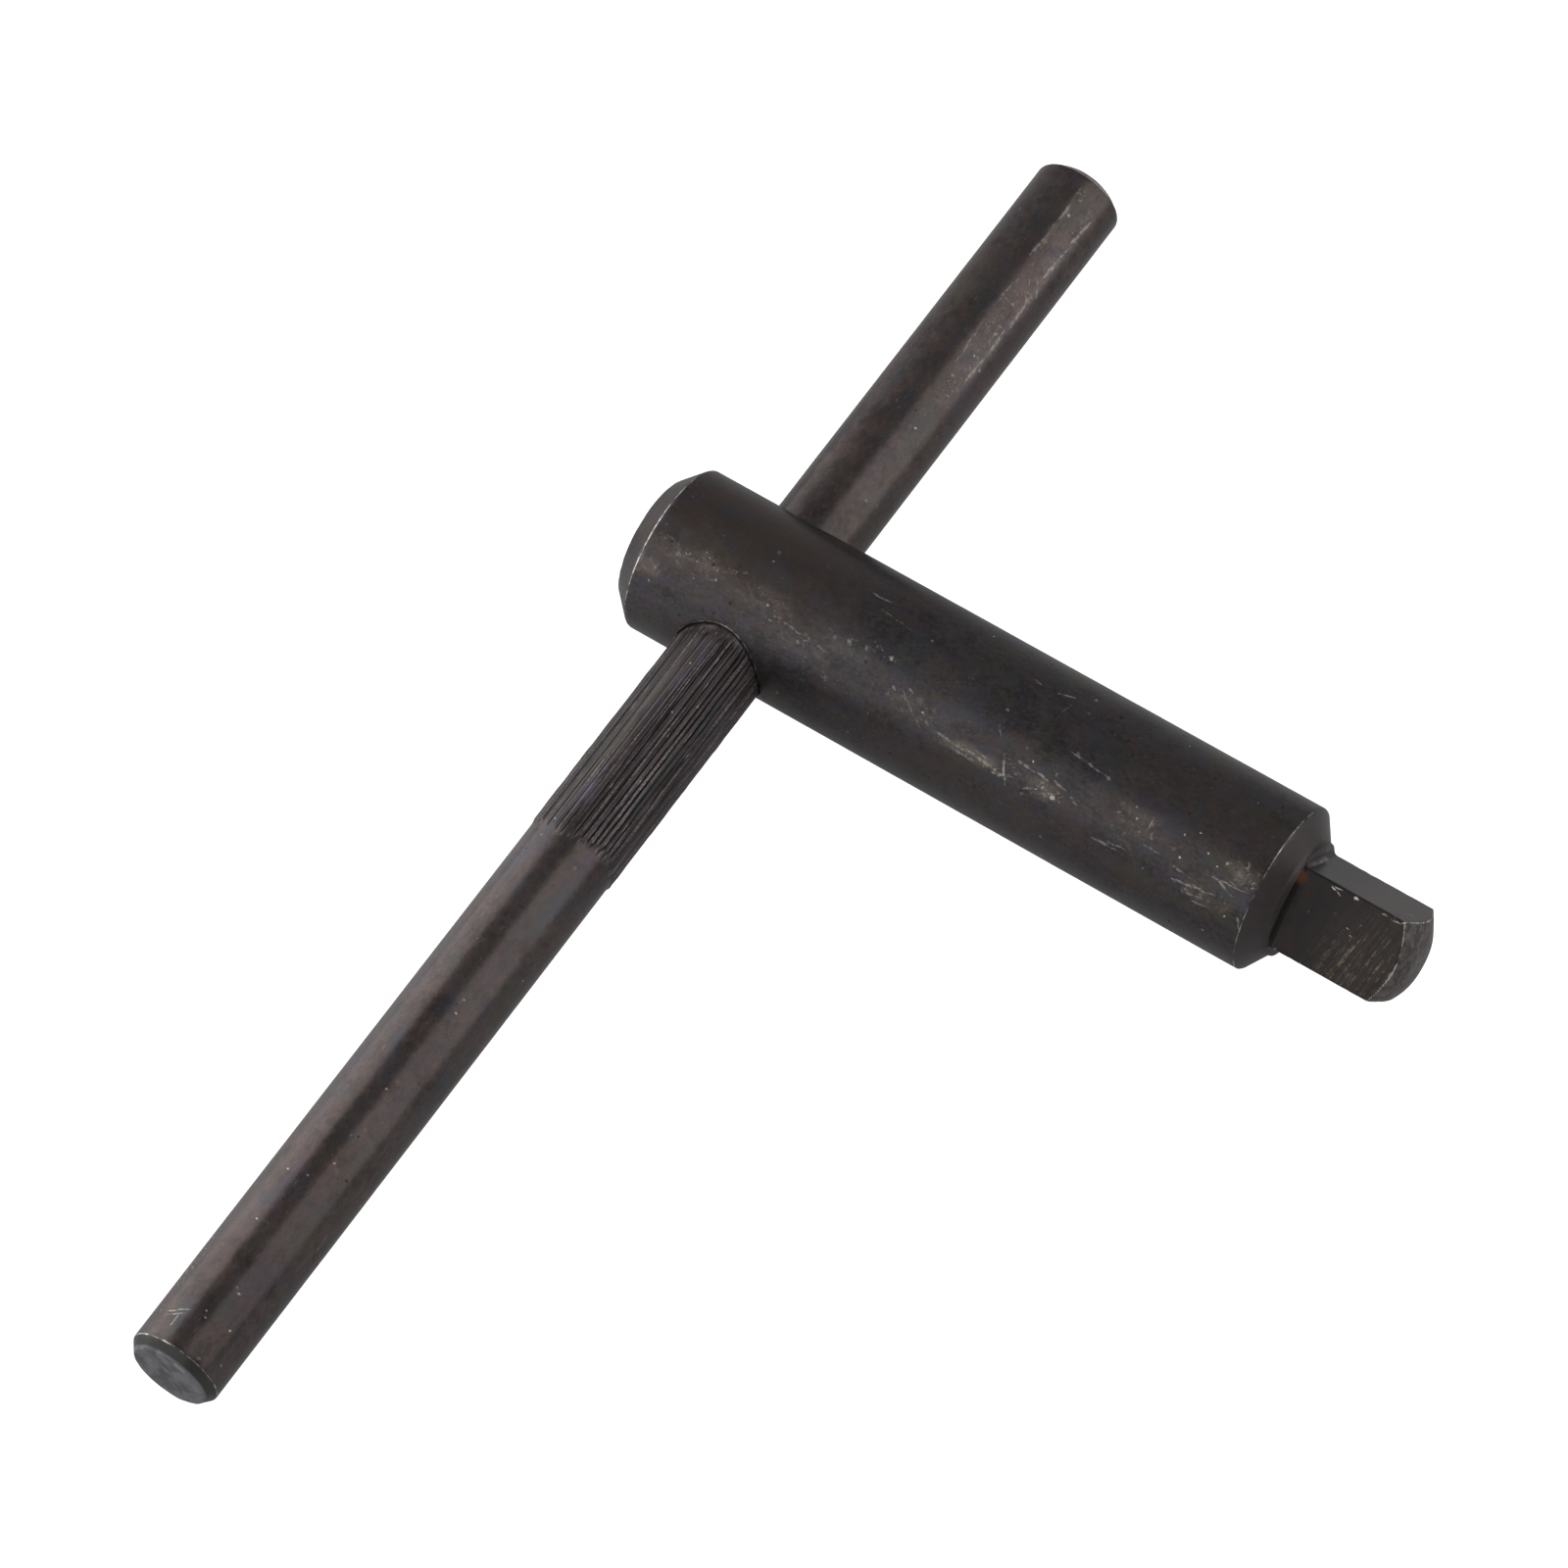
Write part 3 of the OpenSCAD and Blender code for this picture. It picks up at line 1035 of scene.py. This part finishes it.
def milled_flats(steel, area, painted_sheen_side):
    """The dark flats with the cutter's lines near the tip, and a painted sheen: a lighter colour on
    the flats that face backward.
    """
    turn = math.radians(SQUARE_ROLL)
    across = (0, math.cos(turn), math.sin(turn))
    slanted = (1, -CUTTER_LEAN * across[1], -CUTTER_LEAN * across[2])
    station = steel.vector("DOT_PRODUCT", steel.place, slanted)
    height = steel.vector("DOT_PRODUCT", steel.place, across)
    cut = steel.node("ShaderNodeCombineXYZ", {0: station, 1: steel.times(height, 0.02)}).outputs[0]
    tone = steel.mix(steel.band(steel.along, 2, 10), (0.019, 0.017, 0.0175), (0.036, 0.03, 0.028))
    steel.cover(steel.times(area, 0.9), tone, rough=0.32)
    # Painted sheen: the flats that face backward get a lighter colour for the way they face.
    painted_sheen = steel.mix(steel.band(steel.along, 2, 9), (0.046, 0.046, 0.048), (0.086, 0.07, 0.069))
    steel.cover(steel.times(area, painted_sheen_side, 0.9), painted_sheen)
    front = steel.times(area, steel.inverse(painted_sheen_side))
    bloom = steel.band(steel.cloud(2.2, 4, 0.6), 0.46, 0.62, 0.0, 0.7)
    steel.cover(steel.times(front, bloom), (0.036, 0.026, 0.024))
    near_tip = steel.times(area, steel.band(station, 4, 9), steel.band(height, 6, -2), front)
    lines = steel.noise(cut, 0.16, 3, 0.7)
    steel.lift(lines, near_tip, 0.04)
    steel.cover(steel.times(steel.band(lines, 0.5, 0.57), near_tip, 0.7), (0.08, 0.062, 0.046))
    fine = steel.band(steel.noise(steel.shifted(cut, 2), 0.09, 1), 0.57, 0.64)
    breaks = steel.band(steel.cloud(0.8, 4, 0.7), 0.44, 0.6)
    steel.cover(steel.times(fine, breaks, near_tip, 0.7), (0.26, 0.225, 0.175))


def turned_faces(steel, shoulder, coned):
    """The shoulder above the square and the cone at its tip."""
    turned = steel.mix(steel.cloud(1.5, 5, 0.6), (0.062, 0.05, 0.05), (0.094, 0.082, 0.083))
    steel.cover(steel.times(shoulder, 0.85), turned, rough=0.38)
    mottled = steel.band(steel.cloud(0.9, 5, 0.7), 0.36, 0.64)
    tip = steel.mix(mottled, (0.085, 0.07, 0.068), (0.2, 0.175, 0.17))
    steel.cover(steel.times(coned, 0.9), tip, rough=0.4)


def machined_square(steel):
    """The square's flats, the turned faces at both its ends, the marks on it, and a painted
    highlight strip at its root.
    """
    normal = steel.parts(steel.coordinates("Normal"))
    sloping = steel.band(normal[0], 0.3, 0.45)
    shoulder = steel.times(sloping, steel.band(steel.along, 0.15, 0.05))
    coned = steel.times(sloping, steel.band(steel.along, 5, 6))
    area = steel.times(steel.band(steel.along, -0.3, 0.2), steel.inverse(coned))
    # The band of the normal's Y picks the flats that face backward, for their painted sheen.
    milled_flats(steel, area, steel.band(normal[1], -0.2, 0.2))
    turned_faces(steel, shoulder, coned)
    # The painted highlight strip along the top flat's root.
    steel.scratched(ROOT_HIGHLIGHT_STRIP, (0.27, 0.28, 0.28))
    steel.scratched(SQUARE_MARKS, SPARK)
    steel.scratched(SQUARE_STREAK, (0.16, 0.12, 0.08))


def rusty_root(steel):
    """A spot of rust at the root of the square."""
    turn = math.radians(SQUARE_ROLL + 55)
    centre = (0.3, 6.6 * math.cos(turn), 6.6 * math.sin(turn))
    spot = steel.placed(ZONE, Place=steel.place, Centre=centre, Reach=(0.8, 1.2, 1.2))
    broken = steel.band(steel.cloud(1.1, 5, 0.7), 0.38, 0.5)
    steel.cover(steel.times(spot, broken, 0.8), RUST, rough=0.8, metal=0.2)


BAR_SCRATCHES_AND_HIGHLIGHT_LINES = [
    (-109.9, 123, -108.6, 95.8, 0.14, 1), (-110.3, 120.9, -109.3, 98.5, 0.12, 0.9),
    (-111.4, 106.1, -109.7, 105, 0.16, 0.9), (-82.8, 75.5, -82.2, 74.5, 0.24, 0.5),
    (-106.8, 157, -105.6, 151, 0.2, 0.6), (-94.6, 17, -92.2, 20, 0.18, 0.4),
    # The lines from here on lie on the far arm along its highlight band: painted highlight lines.
    (34.5, 42, 38.5, 40, 0.28, 0.6), (38.8, 40, 43, 42, 0.3, 0.7), (43.5, 38, 48, 42, 0.26, 0.6),
    (48.9, 36, 50.5, 50, 0.22, 0.5), (51, 44, 56, 41, 0.3, 0.7), (56.5, 42, 61, 38, 0.28, 0.6),
    (35.5, 66, 42, 70, 0.22, 0.4), (44, 72, 48, 70, 0.22, 0.5), (52, 74, 57, 72, 0.24, 0.6),
    (58, 72, 63, 75, 0.28, 0.7),
]
# The specks are those of the plain arms first, and then those of the knurl.
BAR_DOTS = [
    (-107.8, 81.7), (-108.5, 77.7), (-103.8, 70.5), (-104.2, 64.5), (-107.9, 46.6), (-111.2, 27.3),
    (-96.1, 102), (-89.3, 110), (-86, 69.1), (-75.7, 73.8), (-107.3, 158), (-106.2, 156),
    (-105.4, 150), (-104.6, 144), (-103.9, 139), (-103, 143), (-102.1, 137), (-101.2, 141),
    (-99.5, 144.7), (-98.4, 142), (-64, 63.7), (-62.2, 65.6), (15, 48.9), (25.8, 56.2),
    (-14, 96.9), (-17.9, 58.8), (-20.2, 78.7), (-31.7, 62.9), (-33.4, 62.2), (-38.3, 59.9),
    (-38.3, 114.4),
]
BAR_WORN = [
    (40, 55, 22, 26, 0.6), (56, 50, 10, 24, 0.7), (46, 41, 20, 8, 1), (58, 71, 8, 6, 1),
    (20, 60, 14, 20, 0.5), (-85, 60, 26, 26, 0.3), (-20, 110, 10, 20, 0.5),
]
BAR_CHIPPED = [
    (40, 55, 24, 24, 0.6), (44, 46, 24, 16, 1), (56, 68, 10, 10, 0.9), (-106, 140, 8, 14, 0.8),
    (-60, 110, 24, 16, 0.25), (-24, 60, 14, 40, 0.4),
]


def cross_bar_steel():
    steel = Steel("blackened_cross_bar", "y", 0.6)
    steel.oxide(
        dark=(0.058, 0.0435, 0.041), light=(0.108, 0.084, 0.08), brown=(0.12, 0.082, 0.072),
        grey=(0.07, 0.066, 0.075), roughness=0.27, grain=0.18,
    )
    steel.tinted((1, 0.3, 1), 2.6, 0.5)
    steel.worn(BAR_WORN, (0.18, 0.14, 0.122), 0.6)
    steel.pitted(1.7, 0.3, 0.2)
    steel.scattered(0.2, 0.6)
    steel.chipped(BAR_CHIPPED, (0.3, 0.265, 0.225), 0.9)
    steel.dusted(2.4, 0.24, 0.16, 0.7)
    rolled_middle(steel)
    # Scratches on the near arm, and painted highlight lines along the far arm's highlight band.
    steel.scratched(BAR_SCRATCHES_AND_HIGHLIGHT_LINES)
    steel.dotted(BAR_DOTS, 0.24)
    # Painted shade with some grime in the knurl's grooves.
    steel.grimed_and_shaded((0.034, 0.027, 0.027), 0.6)
    pitted_ends(steel)
    steel.edged(0.85)
    return steel.finish(0.5)


# Tints along the knurl, then a near-black band along its whole length round turns 126 to 148: a
# colour and its ovals.
KNURL_TINTS_AND_DARK_BAND = [
    ((0.088, 0.082, 0.062),
     [(-20.6, 109, 5, 9, 0.9), (-25.5, 110, 5, 9, 0.8), (-30, 119, 5, 8, 0.8)]),
    ((0.13, 0.118, 0.165),
     [(-33, 101, 5, 9, 1), (-17, 96, 4, 6, 0.6), (-12, 90, 3, 8, 0.7)]),
    ((0.058, 0.074, 0.068),
     [(-17.8, 39, 4, 7, 1), (-24, 43, 5, 7, 1), (-30, 45, 5, 7, 0.9)]),
    ((0.08, 0.088, 0.084), [(-21, 160, 9, 8, 1), (-34, 158, 7, 8, 0.6)]),
    ((0.026, 0.021, 0.021), [(-24, 126, 26, 10, 1), (-24, 148, 26, 7, 1)]),
]


def rolled_middle(steel):
    """The knurl's lands: fine lines that run along it, grit, tints and a near-black band along it.
    """
    area = steel.times(
        steel.band(steel.along, KNURL_OUTER_Y, KNURL_OUTER_Y + 0.8),
        steel.band(steel.along, KNURL_INNER_Y + 0.6, KNURL_INNER_Y),
    )

    def lay(colour, *masks, rough=None):
        steel.cover(steel.times(area, *masks), colour, rough)

    drawn = (1, 0.015, 1)
    blurred = (1, 0.3, 1)
    lines = steel.cloud(0.3, 3, 0.7, stretch=drawn)
    patches = steel.cloud(1.4, 4, 0.65, stretch=blurred)
    hair = steel.cloud(0.27, 2, 0.6, stretch=drawn)
    grit = steel.cloud(0.24, 3, 0.7)
    tone = steel.mix(steel.band(lines, 0.42, 0.6), (0.044, 0.035, 0.038), (0.106, 0.087, 0.088))
    lay(tone, 0.6, rough=0.5)
    lay((0.11, 0.092, 0.112), steel.band(patches, 0.52, 0.62, 0.0, 0.55))
    lay((0.13, 0.116, 0.112), steel.band(grit, 0.52, 0.62, 0.0, 0.5))
    lay((0.016, 0.012, 0.013), steel.band(hair, 0.45, 0.38, 0.0, 0.9))
    lay((0.29, 0.252, 0.248), steel.band(hair, 0.55, 0.62), steel.band(grit, 0.42, 0.52), 0.75)
    broken = steel.band(steel.cloud(0.9, 4, stretch=blurred), 0.36, 0.5)
    for colour, ovals in KNURL_TINTS_AND_DARK_BAND:
        lay(colour, steel.zones(ovals), broken, 0.8)
    steel.lift(lines, area, 0.03)
    steel.lift(hair, area, 0.02)


def pitted_ends(steel):
    """The bar's sawn ends: grey, pitted and dull."""
    low = steel.band(steel.along, BAR_LOW_Y + 0.45, BAR_LOW_Y + 0.2)
    high = steel.band(steel.along, BAR_HIGH_Y - 0.45, BAR_HIGH_Y - 0.2)
    chamfer = steel.band(steel.along, BAR_LOW_Y + 1.4, BAR_LOW_Y + 1.15, 0.0, 0.85)
    steel.cover(chamfer, (0.05, 0.052, 0.05), rough=0.35)
    face = steel.highest(low, high)
    blotches = steel.cloud(1.8, 6, 0.6)
    grey = steel.mix(steel.band(blotches, 0.36, 0.64), (0.12, 0.117, 0.13), (0.24, 0.238, 0.255))
    steel.cover(face, grey, rough=0.5, metal=0.5)
    steel.lift(face, blotches, 0.08)


# ---- The pieces on their bodies ----

def place_piece(piece, material, body, node):
    """Gives a piece its material and its body, and hides the CAD part that it stands for."""
    piece.data.materials.append(material)
    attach(piece, body)
    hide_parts(node)


place_piece(key_body(), key_body_steel(), "key_body", "key_body")
place_piece(cross_bar(), cross_bar_steel(), "cross_bar", "cross_bar")


# ---- The stage ----

FLOOR_HALF = 3000
# The table is lit from below. TABLE_GLOW is how bright it looks. The others light the steel:
# everywhere, beyond the shank's top end, and along both sides of the shank.
TABLE_GLOW = 0.9
TABLE_LIGHT = 0.2
END_LIGHT = 0.5
SIDE_LIGHT = 0.09


def floor_tilt():
    """The floor's tilt, at which it meets both the shank and the bar's long end."""
    reach = -(BAR_LOW_Y + NEAR_CHAMFER_LEN)
    return math.asin((SHANK_R - BAR_R) / reach)


def floor_material():
    """A light table, brighter where it is looked at than where it lights the steel."""
    material = bpy.data.materials.new("pale_floor")
    material.use_nodes = True
    graph = Graph(material.node_tree)
    place = graph.stretch(graph.coordinates("Object"), (1 / MM, 1 / MM, 1 / MM))
    x, y, _ = graph.parts(place)
    end = graph.times(graph.band(x, -78, -110), graph.band(y, 0, -30))
    near_and_far = graph.add(graph.band(y, -30, -45), graph.band(y, 5, 20, 0.0, 0.4))
    sides = graph.times(graph.band(x, -64, -50), near_and_far)
    seen = graph.node("ShaderNodeLightPath").outputs["Is Camera Ray"]
    glow = graph.add(
        graph.times(seen, TABLE_GLOW), graph.times(end, END_LIGHT),
        graph.times(sides, SIDE_LIGHT), TABLE_LIGHT,
    )
    shader = graph.node("ShaderNodeBsdfPrincipled", {
        "Base Color": graph.mix(graph.noise(place, 400, 2), (0.26, 0.26, 0.26), (0.3, 0.3, 0.3)),
        "Roughness": 0.7, "Specular IOR Level": 0.2,
        "Emission Color": (1, 1, 1, 1), "Emission Strength": glow,
    })
    graph.node("ShaderNodeOutputMaterial", {0: shader.outputs[0]})
    return material


def floor():
    mesh = bpy.data.meshes.new("floor")
    half = FLOOR_HALF * MM
    corners = [(-half, -half, 0), (half, -half, 0), (half, half, 0), (-half, half, 0)]
    mesh.from_pydata(corners, [], [(0, 1, 2, 3)])
    mesh.materials.append(floor_material())
    made = new_object("floor", mesh)
    tilt = floor_tilt()
    made.rotation_euler = (-tilt, 0, 0)
    made.location = (0, 0, -SHANK_R / math.cos(tilt) * MM)


# Softboxes: centre, the point they face, width, height and brightness.
SOFTBOXES = {
    "left": ((-300, -62, 182), (0, -62, 182), 375, 384, 1.55),
    "right": ((217, 225, 324), (-73, 225, 151), 400, 550, 1.0),
    "right_low": ((400, 300, 50), (-70, 90, 20), 200, 130, 1.0),
    "front": ((-212, -481, 399), (-37, 39, 69), 800, 620, 0.58),
}


def softbox(name, centre, target, width, height, brightness):
    """A rectangular light of even brightness. It isn't seen directly."""
    light = bpy.data.lights.new(name, "AREA")
    light.shape = "RECTANGLE"
    light.size = width * MM
    light.size_y = height * MM
    light.energy = brightness * math.pi * light.size * light.size_y
    made = new_object(name, light)
    made.location = Vector(centre) * MM
    away = Vector(centre) - Vector(target)
    made.rotation_mode = "QUATERNION"
    made.rotation_quaternion = away.to_track_quat("Z", "Y")
    made.visible_camera = False


def studio():
    """The room: pale walls round the table, darker overhead."""
    world = bpy.data.worlds.new("studio")
    bpy.context.scene.world = world
    world.use_nodes = True
    graph = Graph(world.node_tree)
    height = graph.parts(graph.coordinates("Generated"))[2]
    tone = graph.band(height, 0.0, 0.8, 0.32, 0.19)
    back = graph.node("ShaderNodeBackground", {0: (1, 1, 1, 1), "Strength": tone})
    graph.node("ShaderNodeOutputWorld", {0: back.outputs[0]})


CAMERA_AIM = (-55.35, -18.59, 0)
CAMERA_DISTANCE = 889.06
CAMERA_AZIMUTH = 34.93
CAMERA_ELEVATION = 59.96
CAMERA_ROLL = -1.64
CAMERA_LENS = 185.4


def camera():
    data = bpy.data.cameras.new("camera")
    data.sensor_width = 36
    data.lens = CAMERA_LENS
    made = new_object("camera", data)
    turn, rise = math.radians(CAMERA_AZIMUTH), math.radians(CAMERA_ELEVATION)
    back = Vector((
        math.sin(turn) * math.cos(rise), -math.cos(turn) * math.cos(rise), math.sin(rise)
    ))
    made.location = (Vector(CAMERA_AIM) + back * CAMERA_DISTANCE) * MM
    made.rotation_mode = "QUATERNION"
    roll = Quaternion((0, 0, 1), math.radians(CAMERA_ROLL))
    made.rotation_quaternion = (-back).to_track_quat("-Z", "Y") @ roll
    bpy.context.scene.camera = made


floor()
studio()
for label, settings in SOFTBOXES.items():
    softbox(label, *settings)
camera()
bpy.context.scene.view_settings.view_transform = "Standard"
